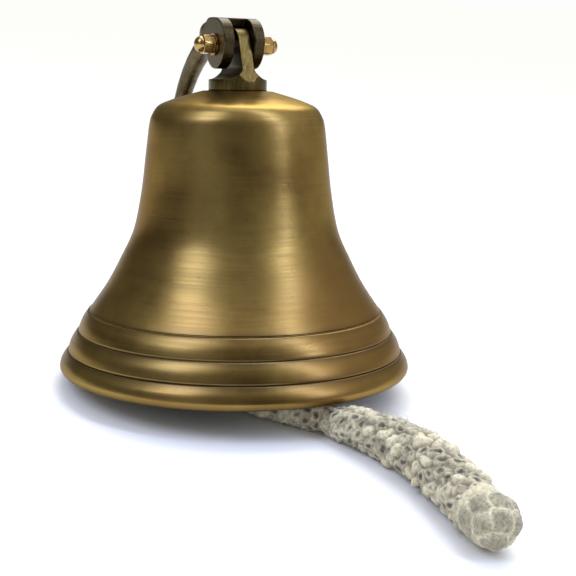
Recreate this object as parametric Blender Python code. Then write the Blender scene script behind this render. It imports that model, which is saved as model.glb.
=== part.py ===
"""Ship bell with a fold-down wall bracket, a hinged clapper and a plaited lanyard.

The bell stands mouth down on its back rim and leans back a little, because the
lanyard runs out under its front rim. The pin lies along X and the folded bracket
is behind the bell, towards +Y. All sizes are in metres.
"""

import math

import bmesh
import bpy
from mathutils import Matrix, Vector

GAP = 0.0003  # clearance between pieces that touch

# Stance of the bell
LEAN = math.radians(5.25)  # how far the bell's axis leans back
MOUTH_Y = -0.0154  # the mouth's centre, so that the bell and bracket are centred on Y

# Bell shell, measured along and from its own axis
BELL_SIDES = 48
LIP_RADIUS = 0.0976
LIP_INNER_RADIUS = 0.0920
MOUTH_LIFT = LIP_RADIUS * math.sin(LEAN)  # the back of the rim touches the floor
CROWN_TOP = 0.1628
CROWN_UNDER = 0.1570
STUD_RADIUS = 0.0050
WAIST = [(0.0849, 0.0370), (0.0751, 0.0514), (0.0670, 0.0666), (0.0595, 0.0832),
         (0.0551, 0.1050), (0.0525, 0.1265), (0.0505, 0.1430)]
INNER_WAIST = [(0.0885, 0.0100), (0.0838, 0.0230), (0.0780, 0.0360), (0.0692, 0.0510),
               (0.0615, 0.0666), (0.0545, 0.0832), (0.0503, 0.1050), (0.0478, 0.1265),
               (0.0460, 0.1390)]

# Hanger on the crown, and the bracket's pin
FOOT_RADIUS = 0.0167
FOOT_HEIGHT = 0.0060
TONGUE_HALF = 0.0038
TONGUE_END_RADIUS = 0.0096
PIN_HEIGHT = 0.1883  # along the bell's axis
PIN_RADIUS = 0.0030

# Fork and arm of the bracket, measured from the pin
FORK_MIDDLE_X = -0.0020  # the fork has side play and sits to the left
SLOT_HALF = 0.0061
CHEEK_THICKNESS = 0.0064
CHEEK_RADIUS = 0.0134
SLOT_RADIUS = 0.0106
ARM_BEND_RADIUS = 0.0890
ARM_START_Z = 0.0077
ARM_ROOT_DEPTH = 0.0074
ARM_ROOT_HALF = 0.0070
ARM_END_HALF = 0.0048
ARM_DROP = 0.0470  # straight end of the arm above the plate
PLATE_RADIUS = 0.0260
PLATE_THICKNESS = 0.0060
PLATE_HOLES = 3
PLATE_HOLE_CIRCLE = 0.0185
PLATE_HOLE_RADIUS = 0.0023
PLATE_SCREW_RADIUS = 0.0030

# Nuts and washers on the pin
NUT_FLATS = 0.0100
NUT_HEX = 0.0062
NUT_DOME = 0.0044
WASHER_RADIUS = 0.0062
WASHER_THICKNESS = 0.0010
SIDE_PLAY = 0.0020

# Clapper, measured down from its own pin
CLAPPER_PIN_HEIGHT = 0.1300  # along the bell's axis
CLAPPER_PIN_RADIUS = 0.0025
CLAPPER_EYE_RADIUS = 0.0072
CLAPPER_EYE_HALF = 0.0036
BALL_DROP = 0.0940
BALL_RADIUS = 0.0170
ROD_RADIUS = 0.0045
ROD_THREAD_RADIUS = 0.0035
TAIL_EYE_DROP = 0.1222
TAIL_EYE_RADIUS = 0.0074
TAIL_HOLE_RADIUS = 0.0042
TAIL_EYE_HALF = 0.0030

# Lanyard: its route over the floor, with its own radius at each point
LANYARD_ROUTE = [
    (-0.0030, -0.0260, 0.0098), (-0.0110, -0.0460, 0.0106), (-0.0100, -0.0690, 0.0104),
    (0.0010, -0.0890, 0.0090), (0.0125, -0.1080, 0.0083), (0.0200, -0.1290, 0.0106),
    (0.0262, -0.1540, 0.0123), (0.0277, -0.1820, 0.0130), (0.0238, -0.2110, 0.0129),
    (0.0187, -0.2385, 0.0124),
]
LANYARD_POINTS = 15
LANYARD_TUBE = 0.0100
KNOT_LENGTH = 0.0250
KNOT_RADIUS = 0.0130
BECKET_RADIUS = 0.0026


def clear_scene():
    """Remove whatever the file holds."""
    for existing in list(bpy.data.objects):
        bpy.data.objects.remove(existing, do_unlink=True)


def make_material(name, colour, roughness, metallic):
    """Return a plain material of one colour."""
    material = bpy.data.materials.new(name)
    material.use_nodes = True
    shader = material.node_tree.nodes["Principled BSDF"]
    shader.inputs["Base Color"].default_value = (*colour, 1.0)
    shader.inputs["Roughness"].default_value = roughness
    shader.inputs["Metallic"].default_value = metallic
    return material


def make_axis(name, location, parent=None, rotation=(0.0, 0.0, 0.0)):
    """Return an empty that stands for an axis of the object."""
    empty = bpy.data.objects.new(name, None)
    empty.location = location
    empty.rotation_euler = rotation
    empty.parent = parent
    bpy.context.scene.collection.objects.link(empty)
    return empty


def make_object(name, shape, material, parent):
    """Turn a bmesh into a smooth-shaded object under its axis."""
    bmesh.ops.recalc_face_normals(shape, faces=shape.faces)
    mesh = bpy.data.meshes.new(name)
    shape.to_mesh(mesh)
    shape.free()
    mesh.shade_smooth()
    mesh.set_sharp_from_angle(angle=math.radians(35))
    mesh.materials.append(material)
    thing = bpy.data.objects.new(name, mesh)
    thing.parent = parent
    bpy.context.scene.collection.objects.link(thing)
    return thing


def add_boolean(thing, name, shape, operation):
    """Cut or join another shape, which stays hidden, with an exact Boolean."""
    tool = make_object(name, shape, thing.data.materials[0], thing.parent)
    tool.hide_render = True
    tool.display_type = "WIRE"
    modifier = thing.modifiers.new(name, "BOOLEAN")
    modifier.object = tool
    modifier.operation = operation
    modifier.solver = "EXACT"
    return thing


def turned(outline, sides, closed=False):
    """Spin an (r, z) outline about Z. An open outline starts and ends on the axis."""
    shape = bmesh.new()
    points = [shape.verts.new((radius, 0.0, height)) for radius, height in outline]
    edges = [shape.edges.new(pair) for pair in zip(points, points[1:])]
    if closed:
        edges.append(shape.edges.new((points[-1], points[0])))
    bmesh.ops.spin(shape, geom=points + edges, axis=(0, 0, 1), cent=(0, 0, 0),
                   angle=math.tau, steps=sides, use_merge=True)
    bmesh.ops.remove_doubles(shape, verts=shape.verts, dist=1e-6)
    return shape


def rod(radius, bottom, top, sides=24):
    """A plain round rod along Z."""
    return turned([(0, bottom), (radius, bottom), (radius, top), (0, top)], sides)


def ring(inner, outer, bottom, top, sides=24):
    """A flat ring about Z."""
    corners = [(inner, bottom), (outer, bottom), (outer, top), (inner, top)]
    return turned(corners, sides, closed=True)


def hexagon(flats, bottom, top):
    """A hexagonal bar along Z."""
    return rod(flats / math.sqrt(3), bottom, top, sides=6)


def slab(outline, low, high):
    """Extrude a flat (a, b) outline along Z, from low to high."""
    shape = bmesh.new()
    points = [shape.verts.new((a, b, low)) for a, b in outline]
    face = shape.faces.new(points)
    grown = bmesh.ops.extrude_face_region(shape, geom=[face])
    moved = [item for item in grown["geom"] if isinstance(item, bmesh.types.BMVert)]
    bmesh.ops.translate(shape, verts=moved, vec=(0, 0, high - low))
    return shape


def along_x(shape):
    """Turn a shape made along Z so that its Z runs along X and its (a, b) are (Y, Z)."""
    turn = Matrix(((0, 0, 1), (1, 0, 0), (0, 1, 0)))
    bmesh.ops.transform(shape, matrix=turn.to_4x4(), verts=shape.verts)
    return shape


def along_y(shape):
    """Turn a shape made along Z so that its Z runs along -Y and its (a, b) are (X, Z)."""
    turn = Matrix(((1, 0, 0), (0, 0, -1), (0, 1, 0)))
    bmesh.ops.transform(shape, matrix=turn.to_4x4(), verts=shape.verts)
    return shape


def moved(shape, offset):
    """Shift a shape."""
    bmesh.ops.translate(shape, verts=shape.verts, vec=offset)
    return shape


def arc(centre, radius, start, end, steps):
    """Points of an arc between two angles in degrees."""
    angles = [math.radians(start + (end - start) * i / steps) for i in range(steps + 1)]
    return [(centre[0] + radius * math.cos(a), centre[1] + radius * math.sin(a)) for a in angles]


def through(points, steps):
    """Smooth curve through points of any dimension, with some steps for each stretch."""
    count = len(points)
    ends = [points[0], *points, points[-1]]
    curve = []
    for i in range(count - 1):
        p0, p1, p2, p3 = (Vector(p) for p in ends[i:i + 4])
        for k in range(steps):
            t = k / steps
            pull = (p2 - p0) * t + (2 * p0 - 5 * p1 + 4 * p2 - p3) * t * t
            curve.append(p1 + 0.5 * (pull + (3 * p1 - p0 - 3 * p2 + p3) * t ** 3))
    curve.append(Vector(points[-1]))
    return curve


def band(start, end, bulge, steps):
    """A slightly convex band of the bell between two grooves."""
    (r0, z0), (r1, z1) = start, end
    fractions = [i / steps for i in range(steps + 1)]
    swell = [bulge * math.sin(math.pi * t) for t in fractions]
    return [(r0 + (r1 - r0) * t + s, z0 + (z1 - z0) * t + 0.5 * s)
            for t, s in zip(fractions, swell)]


def bell_outline():
    """Closed outline of the bell's wall: up the outside, then down the inside."""
    lip = [(LIP_RADIUS, 0.0), (0.1005, 0.0010), (0.1022, 0.0031), (0.1024, 0.0054),
           (0.1011, 0.0090), (0.0982, 0.0130)]
    lower_band = band((0.0973, 0.0138), (0.0922, 0.0244), 0.0007, 4)
    upper_band = band((0.0914, 0.0252), (0.0858, 0.0360), 0.0006, 4)
    waist = [tuple(point) for point in through(WAIST, 2)]
    shoulder = [(0.0487, 0.1490), (0.0450, 0.1540), (0.0380, 0.1572), (0.0300, 0.1598),
                (0.0200, CROWN_TOP), (STUD_RADIUS + GAP, CROWN_TOP)]
    ceiling = [(STUD_RADIUS + GAP, CROWN_UNDER), (0.0280, 0.1555), (0.0390, 0.1500),
               (0.0440, 0.1450)]
    inside = [tuple(point) for point in reversed(through(INNER_WAIST, 1))]
    return [*lip, *lower_band, *upper_band, *waist, *shoulder, *ceiling, *inside,
            (LIP_INNER_RADIUS, 0.0)]


def make_bell_shell(axis, brass):
    """The cast bell: one open cup with a stud hole in its crown."""
    return make_object("bell_shell", turned(bell_outline(), BELL_SIDES, closed=True), brass, axis)


def make_crown_hanger(axis, brass):
    """Round foot with a tongue for the bracket's pin, and a blind hole for the stud."""
    foot = CROWN_TOP + GAP
    shelf = foot + FOOT_HEIGHT
    top = PIN_HEIGHT + TONGUE_END_RADIUS
    sweep = FOOT_RADIUS - 0.0022 - TONGUE_HALF
    rise = 0.0065
    right = [(FOOT_RADIUS + 0.001, foot), (FOOT_RADIUS + 0.001, shelf)]
    for i in range(8):
        turn = math.radians(90 * i / 7)
        right.append((TONGUE_HALF + sweep * (1 - math.sin(turn)), shelf + rise * (1 - math.cos(turn))))
    right.append((TONGUE_HALF, top + 0.001))
    front = right + [(-x, z) for x, z in reversed(right)]
    hanger = make_object("crown_hanger", along_y(slab(front, -0.02, 0.02)), brass, axis)
    flank = FOOT_RADIUS + 0.001
    lean = math.degrees(math.asin(0.30))
    round_end = arc((0.0, PIN_HEIGHT), TONGUE_END_RADIUS, lean, 180 - lean, 14)
    side = [(flank, foot - 0.001), (flank, foot + 0.0015), *round_end,
            (-flank, foot + 0.0015), (-flank, foot - 0.001)]
    add_boolean(hanger, "hanger_side", along_x(slab(side, -0.03, 0.03)), "INTERSECT")
    add_boolean(hanger, "hanger_round", rod(FOOT_RADIUS, foot - 0.002, top + 0.002, 48), "INTERSECT")
    pin_hole = moved(along_x(rod(PIN_RADIUS + GAP, -0.02, 0.02, 32)), (0, 0, PIN_HEIGHT))
    add_boolean(hanger, "hanger_pin_hole", pin_hole, "DIFFERENCE")
    stud_hole = rod(STUD_RADIUS + GAP, foot - 0.002, shelf - 0.001, 32)
    return add_boolean(hanger, "hanger_stud_hole", stud_hole, "DIFFERENCE")


def make_crown_fixings(axis, steel):
    """Stud through the crown, with its washer and nut under the crown."""
    stud_top = CROWN_TOP + FOOT_HEIGHT - 0.0013
    nut_top = CROWN_UNDER - 0.0024
    nut_bottom = nut_top - 0.0080
    make_object("crown_stud", rod(STUD_RADIUS, nut_bottom - 0.0075, stud_top, 32), steel, axis)
    washer = ring(STUD_RADIUS + GAP, 0.0120, nut_top + GAP, nut_top + 0.0018, 32)
    make_object("crown_washer", washer, steel, axis)
    nut = make_object("crown_nut", hexagon(0.0170, nut_bottom, nut_top), steel, axis)
    nut_hole = rod(STUD_RADIUS + GAP, nut_bottom - 0.001, nut_top + 0.001, 32)
    add_boolean(nut, "crown_nut_hole", nut_hole, "DIFFERENCE")
    return nut_bottom


def make_clapper_staple(axis, brass, top):
    """Clevis on the stud's lower end. Its two ears hold the clapper's pin."""
    inside = CLAPPER_EYE_HALF + GAP
    outside = inside + 0.0034
    roof = CLAPPER_PIN_HEIGHT + CLAPPER_EYE_RADIUS + 0.0010
    half = 0.0068
    top = top - GAP
    ear = [(half, top), (-half, top), *arc((0, CLAPPER_PIN_HEIGHT), half, 180, 360, 12)]
    staple = make_object("clapper_staple", along_x(slab(ear, -outside, outside)), brass, axis)
    slot_side = [(inside, roof), (-inside, roof),
                 (-inside, CLAPPER_PIN_HEIGHT - 0.02), (inside, CLAPPER_PIN_HEIGHT - 0.02)]
    add_boolean(staple, "staple_slot", along_y(slab(slot_side, -0.02, 0.02)), "DIFFERENCE")
    pin_hole = rod(CLAPPER_PIN_RADIUS + GAP, -0.02, 0.02, 24)
    pin_hole = moved(along_x(pin_hole), (0, 0, CLAPPER_PIN_HEIGHT))
    add_boolean(staple, "staple_pin_hole", pin_hole, "DIFFERENCE")
    stud_hole = rod(STUD_RADIUS + GAP, roof - 0.001, top + 0.001, 32)
    add_boolean(staple, "staple_stud_hole", stud_hole, "DIFFERENCE")
    return outside


def make_clapper_pin(axis, steel, ear_face):
    """Bolt through the staple's ears, with a round head and a hex nut."""
    head = ear_face + GAP
    end = ear_face + 0.0050
    outline = [(0, -head - 0.0026), (0.0036, -head - 0.0026), (0.0044, -head - 0.0018),
               (0.0044, -head), (CLAPPER_PIN_RADIUS, -head), (CLAPPER_PIN_RADIUS, end), (0, end)]
    bolt = moved(along_x(turned(outline, 24)), (0, 0, CLAPPER_PIN_HEIGHT))
    make_object("clapper_pin", bolt, steel, axis)
    nut_shape = along_x(hexagon(0.0080, head, head + 0.0036))
    nut = make_object("clapper_pin_nut", moved(nut_shape, (0, 0, CLAPPER_PIN_HEIGHT)), steel, axis)
    hole = along_x(rod(CLAPPER_PIN_RADIUS + GAP, head - 0.001, head + 0.006))
    hole = moved(hole, (0, 0, CLAPPER_PIN_HEIGHT))
    add_boolean(nut, "clapper_pin_nut_hole", hole, "DIFFERENCE")


def make_clapper(axis, brass, steel):
    """Rod with a flat eye, the striking ball on it and an eye nut below the ball."""
    ball_top = -BALL_DROP + BALL_RADIUS * 0.94
    ball_bottom = -BALL_DROP - BALL_RADIUS * 0.94
    thread_end = ball_bottom - 0.0050
    outline = [(0, -0.0060), (0.0030, -0.0060), (0.0030, -0.0100), (ROD_RADIUS, -0.0240),
               (ROD_RADIUS + 0.0008, ball_top + GAP), (ROD_THREAD_RADIUS, ball_top + GAP),
               (ROD_THREAD_RADIUS, thread_end), (0, thread_end)]
    clapper_rod = make_object("clapper_rod", turned(outline, 24), steel, axis)
    eye = along_x(rod(CLAPPER_EYE_RADIUS, -CLAPPER_EYE_HALF, CLAPPER_EYE_HALF, 28))
    add_boolean(clapper_rod, "rod_eye", eye, "UNION")
    pin_hole = along_x(rod(CLAPPER_PIN_RADIUS + GAP, -0.02, 0.02))
    add_boolean(clapper_rod, "rod_pin_hole", pin_hole, "DIFFERENCE")

    bore = ROD_THREAD_RADIUS + GAP
    first = math.degrees(math.asin(-0.94))
    outside = arc((0, -BALL_DROP), BALL_RADIUS, first, -first, 14)
    outline = [(bore, ball_bottom), *outside, (bore, ball_top)]
    make_object("clapper_ball", turned(outline, 32, closed=True), brass, axis)

    collar = ball_bottom - GAP
    tail = make_object("clapper_tail_eye", rod(0.0058, -TAIL_EYE_DROP, collar, 24), steel, axis)
    disc = along_x(rod(TAIL_EYE_RADIUS, -TAIL_EYE_HALF, TAIL_EYE_HALF, 28))
    add_boolean(tail, "tail_disc", moved(disc, (0, 0, -TAIL_EYE_DROP)), "UNION")
    hole = along_x(rod(TAIL_HOLE_RADIUS, -0.02, 0.02, 24))
    add_boolean(tail, "tail_hole", moved(hole, (0, 0, -TAIL_EYE_DROP)), "DIFFERENCE")
    waist = [(TAIL_EYE_HALF + 0.0001, -TAIL_EYE_DROP - 0.0100), (0.0100, -TAIL_EYE_DROP - 0.0100),
             (0.0100, -TAIL_EYE_DROP + 0.0048), (TAIL_EYE_HALF + 0.0001, -TAIL_EYE_DROP + 0.0048)]
    add_boolean(tail, "tail_flat_right", along_y(slab(waist, -0.02, 0.02)), "DIFFERENCE")
    mirrored = [(-x, z) for x, z in waist]
    add_boolean(tail, "tail_flat_left", along_y(slab(mirrored, -0.02, 0.02)), "DIFFERENCE")
    socket = rod(ROD_THREAD_RADIUS + GAP, thread_end - GAP, collar + 0.001)
    add_boolean(tail, "tail_socket", socket, "DIFFERENCE")


def arm_shape():
    """Tapered round bar that bends a quarter turn down and then runs straight."""
    stations = []
    for i in range(13):
        turn = math.radians(6 + 84 * i / 12)
        centre = Vector((0, ARM_BEND_RADIUS * math.sin(turn),
                         ARM_START_Z - ARM_BEND_RADIUS * (1 - math.cos(turn))))
        stations.append((centre, turn))
    bend_end = stations[-1][0]
    for drop in (0.35, 0.70, 0.90, 1.0):
        stations.append((bend_end - Vector((0, 0, ARM_DROP * drop)), math.radians(90)))
    taper = [ARM_ROOT_HALF - (ARM_ROOT_HALF - ARM_END_HALF) * min(i / 9, 1) for i in range(15)]
    widths = [*taper, ARM_END_HALF + 0.0010, ARM_END_HALF + 0.0037]
    sides = 20
    shape = bmesh.new()
    rings = []
    for (centre, turn), half in zip(stations, widths):
        outward = Vector((0, math.sin(turn), math.cos(turn)))
        loop = []
        for k in range(sides):
            a = math.tau * k / sides
            offset = Vector((half * math.cos(a), 0, 0)) + outward * half * math.sin(a)
            loop.append(shape.verts.new(centre + offset))
        rings.append(loop)
    for near, far in zip(rings, rings[1:]):
        for k in range(sides):
            after = (k + 1) % sides
            shape.faces.new((near[k], near[after], far[after], far[k]))
    shape.faces.new(rings[0])
    shape.faces.new(rings[-1])
    return shape


def make_bracket_arm(axis, bronze):
    """Fork with two round cheeks, and the curved arm, cast in one."""
    bend = (0, ARM_START_Z - ARM_BEND_RADIUS)
    cheek = arc((0, 0), CHEEK_RADIUS, 180, 360 - 35, 16)
    below = arc(bend, ARM_BEND_RADIUS - ARM_ROOT_DEPTH, 76, 66, 4)
    above = arc(bend, ARM_BEND_RADIUS + ARM_ROOT_DEPTH, 66, 90, 8)
    crest = arc((0.0, 0.0010), CHEEK_RADIUS + 0.0006, 96, 174, 8)
    outline = [*cheek, *below, *above, *crest]
    half = SLOT_HALF + CHEEK_THICKNESS
    arm = make_object("bracket_arm", along_x(slab(outline, -half, half)), bronze, axis)
    shoulder = [(half + 0.001, -0.0200), (half + 0.001, 0.0125)]
    for i in range(1, 9):
        turn = math.pi * i / 8
        width = ARM_ROOT_HALF + (half + 0.0005 - ARM_ROOT_HALF) * (1 + math.cos(turn)) / 2
        shoulder.append((width, 0.0125 + 0.0240 * i / 8))
    shoulder.append((ARM_ROOT_HALF, 0.0450))
    plan = shoulder + [(-x, y) for x, y in reversed(shoulder)]
    add_boolean(arm, "arm_plan", slab(plan, -0.05, 0.05), "INTERSECT")
    add_boolean(arm, "arm_bar", arm_shape(), "UNION")
    slot = [*arc((0, 0), SLOT_RADIUS, 10, 80, 12), (0.0014, 0.0200), (-0.0300, 0.0200),
            (-0.0300, -0.0200), (SLOT_RADIUS + 0.0054, -0.0200)]
    slot_cut = along_x(slab(slot, -SLOT_HALF, SLOT_HALF))
    add_boolean(arm, "arm_slot", slot_cut, "DIFFERENCE")
    pin_hole = along_x(rod(PIN_RADIUS + GAP, -0.05, 0.05, 32))
    add_boolean(arm, "arm_pin_hole", pin_hole, "DIFFERENCE")
    end_z = ARM_START_Z - ARM_BEND_RADIUS - ARM_DROP
    screw_hole = rod(PLATE_SCREW_RADIUS + GAP, end_z - 0.001, end_z + 0.0160)
    add_boolean(arm, "arm_screw_hole", moved(screw_hole, (0, ARM_BEND_RADIUS, 0)), "DIFFERENCE")
    arm.location.x = FORK_MIDDLE_X
    for tool in (modifier.object for modifier in arm.modifiers):
        tool.location.x = FORK_MIDDLE_X
    return end_z


def make_wall_plate(axis, bronze, steel, arm_end):
    """Round plate with countersunk holes, held on the arm by a screw from behind."""
    seat = arm_end - GAP
    back = seat - PLATE_THICKNESS
    centre = Vector((FORK_MIDDLE_X, ARM_BEND_RADIUS, 0))
    outline = [(0, seat), (PLATE_RADIUS - 0.0030, seat), (PLATE_RADIUS - 0.0008, seat - 0.0012),
               (PLATE_RADIUS, seat - 0.0030), (PLATE_RADIUS, back), (0, back)]
    plate = make_object("wall_plate", moved(turned(outline, 56), centre), bronze, axis)
    for i in range(PLATE_HOLES):
        turn = math.radians(90 + 360 * i / PLATE_HOLES)
        spot = centre + PLATE_HOLE_CIRCLE * Vector((math.cos(turn), math.sin(turn), 0))
        sink = [(0, back - 0.001), (PLATE_HOLE_RADIUS, back - 0.001),
                (PLATE_HOLE_RADIUS, seat - 0.0026), (0.0048, seat + 0.0001), (0.0048, seat + 0.001),
                (0, seat + 0.001)]
        add_boolean(plate, f"plate_hole_{i + 1}", moved(turned(sink, 20), spot), "DIFFERENCE")
    head_radius = 0.0060
    head_depth = 0.0032
    sink = [(0, back - 0.001), (head_radius + GAP, back - 0.001), (head_radius + GAP, back),
            (PLATE_SCREW_RADIUS + GAP, back + head_depth), (PLATE_SCREW_RADIUS + GAP, seat + 0.001),
            (0, seat + 0.001)]
    add_boolean(plate, "plate_screw_hole", moved(turned(sink, 24), centre), "DIFFERENCE")
    lift = 0.0004
    body = [(0, back + lift), (head_radius - 0.0007, back + lift),
            (PLATE_SCREW_RADIUS, back + head_depth), (PLATE_SCREW_RADIUS, arm_end + 0.0150),
            (0, arm_end + 0.0150)]
    screw = make_object("plate_screw", moved(turned(body, 24), centre), steel, axis)
    socket = moved(hexagon(0.0040, back - 0.001, back + 0.0026), centre)
    add_boolean(screw, "plate_screw_socket", socket, "DIFFERENCE")


def make_acorn_nut(name, axis, brass, face, side):
    """Domed hex nut whose flat face is at x = face and whose dome points to side."""
    corner = NUT_FLATS / math.sqrt(3)
    nut = make_object(name, along_x(hexagon(NUT_FLATS, 0, NUT_HEX)), brass, axis)
    chamfer = [(0, -0.001), (NUT_FLATS / 2 - 0.0002, -0.001), (corner + 0.0002, 0.0008),
               (corner + 0.0002, NUT_HEX - 0.0012), (NUT_FLATS / 2 - 0.0004, NUT_HEX + 0.001),
               (0, NUT_HEX + 0.001)]
    add_boolean(nut, f"{name}_chamfer", along_x(turned(chamfer, 36)), "INTERSECT")
    dome_radius = NUT_FLATS / 2 - 0.0005
    profile = [(0, NUT_HEX - 0.002)]
    for i in range(8):
        turn = math.radians(90 * i / 7)
        profile.append((dome_radius * math.cos(turn), NUT_HEX + NUT_DOME * math.sin(turn)))
    profile.insert(1, (dome_radius, NUT_HEX - 0.002))
    profile[-1] = (0, NUT_HEX + NUT_DOME)
    add_boolean(nut, f"{name}_dome", along_x(turned(profile, 24)), "UNION")
    hole = along_x(rod(PIN_RADIUS + GAP, -0.002, NUT_HEX + 0.0006))
    add_boolean(nut, f"{name}_hole", hole, "DIFFERENCE")
    pieces = [nut, *(modifier.object for modifier in nut.modifiers)]
    for piece in pieces:
        piece.location.x = face
        if side < 0:
            piece.rotation_euler.z = math.pi


def make_hinge_hardware(axis, steel, brass):
    """Threaded pin, a washer outside each cheek and an acorn nut on each end."""
    left_cheek = FORK_MIDDLE_X - SLOT_HALF - CHEEK_THICKNESS
    right_cheek = FORK_MIDDLE_X + SLOT_HALF + CHEEK_THICKNESS
    left_washer = left_cheek - GAP
    right_washer = right_cheek + SIDE_PLAY
    left_nut = left_washer - WASHER_THICKNESS - GAP
    right_nut = right_washer + WASHER_THICKNESS + GAP
    thread = along_x(rod(PIN_RADIUS, left_nut - NUT_HEX, right_nut + NUT_HEX, 28))
    make_object("hinge_pin", thread, steel, axis)
    washer = ring(PIN_RADIUS + GAP, WASHER_RADIUS, left_washer - WASHER_THICKNESS, left_washer)
    make_object("hinge_washer_left", along_x(washer), brass, axis)
    washer = ring(PIN_RADIUS + GAP, WASHER_RADIUS, right_washer, right_washer + WASHER_THICKNESS)
    make_object("hinge_washer_right", along_x(washer), brass, axis)
    make_acorn_nut("acorn_nut_left", axis, brass, left_nut, -1)
    make_acorn_nut("acorn_nut_right", axis, brass, right_nut, 1)


def make_cord(name, points, radii, thickness, resolution, material):
    """A round cord through points, whose radius may change along it."""
    curve = bpy.data.curves.new(name, "CURVE")
    curve.dimensions = "3D"
    curve.bevel_depth = thickness
    curve.bevel_resolution = resolution
    curve.use_fill_caps = True
    spline = curve.splines.new("POLY")
    spline.points.add(len(points) - 1)
    for point, place, radius in zip(spline.points, points, radii):
        point.co = (*place, 1.0)
        point.radius = radius / thickness
    curve.materials.append(material)
    cord = bpy.data.objects.new(name, curve)
    bpy.context.scene.collection.objects.link(cord)
    return cord


def evenly(curve, count):
    """Points at even steps of length along a finely stepped curve."""
    lengths = [0.0]
    for before, after in zip(curve, curve[1:]):
        lengths.append(lengths[-1] + (Vector(after[:2]) - Vector(before[:2])).length)
    picked = []
    for i in range(count):
        goal = lengths[-1] * i / (count - 1)
        k = min(max(j for j, run in enumerate(lengths) if run <= goal), len(curve) - 2)
        t = (goal - lengths[k]) / (lengths[k + 1] - lengths[k])
        picked.append(curve[k].lerp(curve[k + 1], t))
    return picked


def make_lanyard(cotton, clapper_axis):
    """Plaited body on the floor, the knot at its free end, and the loop at its top."""
    flat = evenly(through(LANYARD_ROUTE, 8), LANYARD_POINTS)
    radii = [point[2] for point in flat]
    route = [Vector((x, y, radius)) for x, y, radius in flat]
    make_cord("lanyard_body", route, radii, LANYARD_TUBE, 3, cotton)

    way = (route[-1] - route[-2]).normalized()
    start = route[-1] + way * GAP
    stations = 9
    outline = [(0, 0)]
    for i in range(stations):
        t = i / (stations - 1)
        width = 0.86 * radii[-1] + (KNOT_RADIUS - 0.86 * radii[-1]) * math.sin(math.pi * min(t * 1.15, 1))
        outline.append((width * math.sqrt(max(1 - max(t * 1.3 - 0.3, 0) ** 2, 0)), KNOT_LENGTH * t))
    outline[-1] = (0, KNOT_LENGTH)
    knot = make_object("lanyard_knot", turned(outline, 24), cotton, None)
    knot.rotation_mode = "QUATERNION"
    knot.rotation_quaternion = Vector((0, 0, 1)).rotation_difference(way)
    knot.location = (start.x, start.y, KNOT_RADIUS)

    eye = clapper_axis + Vector((0, 0, -TAIL_EYE_DROP))
    back = (route[0] - route[1]).normalized()
    side = Vector((back.y, -back.x, 0))
    mouth = route[0] + back * 3 * GAP
    spread = 0.0048
    leg = Vector((0.0088, 0, 0))
    becket_way = [mouth - side * spread, mouth - side * spread + back * 0.006,
                  eye - leg + Vector((0, -0.0080, -0.0020)), eye - leg * 0.80 + Vector((0, -0.0020, 0)),
                  eye, eye + leg * 0.80 + Vector((0, -0.0020, 0)),
                  eye + leg + Vector((0, -0.0080, -0.0020)),
                  mouth + side * spread + back * 0.006, mouth + side * spread]
    loop = through(becket_way, 3)
    make_cord("lanyard_becket", loop, [BECKET_RADIUS] * len(loop), BECKET_RADIUS, 2, cotton)


def build():
    """Make every piece of the bell on its axis."""
    clear_scene()
    brass = make_material("antique_brass", (0.27, 0.19, 0.08), 0.38, 1.0)
    bronze = make_material("dark_bronze", (0.16, 0.13, 0.09), 0.42, 1.0)
    polished = make_material("polished_brass", (0.75, 0.52, 0.20), 0.18, 1.0)
    steel = make_material("zinc_steel", (0.55, 0.55, 0.52), 0.35, 1.0)
    cotton = make_material("cotton", (0.62, 0.57, 0.48), 0.95, 0.0)

    bell_axis = make_axis("bell_axis", (0, MOUTH_Y, MOUTH_LIFT), rotation=(-LEAN, 0, 0))
    stance = Matrix.Translation((0, MOUTH_Y, MOUTH_LIFT)) @ Matrix.Rotation(-LEAN, 4, "X")
    clapper_place = stance @ Vector((0, 0, CLAPPER_PIN_HEIGHT))
    clapper_axis = make_axis("clapper_axis", clapper_place)
    hinge_axis = make_axis("hinge_axis", stance @ Vector((0, 0, PIN_HEIGHT)))

    make_bell_shell(bell_axis, brass)
    make_crown_hanger(bell_axis, brass)
    staple_top = make_crown_fixings(bell_axis, steel)
    ear_face = make_clapper_staple(bell_axis, polished, staple_top)
    make_clapper_pin(bell_axis, steel, ear_face)
    make_clapper(clapper_axis, brass, steel)
    arm_end = make_bracket_arm(hinge_axis, bronze)
    make_wall_plate(hinge_axis, bronze, steel, arm_end)
    make_hinge_hardware(hinge_axis, steel, polished)
    make_lanyard(cotton, clapper_place)


build()
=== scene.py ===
"""Looks of the ship bell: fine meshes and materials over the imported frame, in metres."""
import bisect
import math
import random

import bmesh
import bpy
import numpy as np
from mathutils import Matrix, Vector, noise


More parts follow.
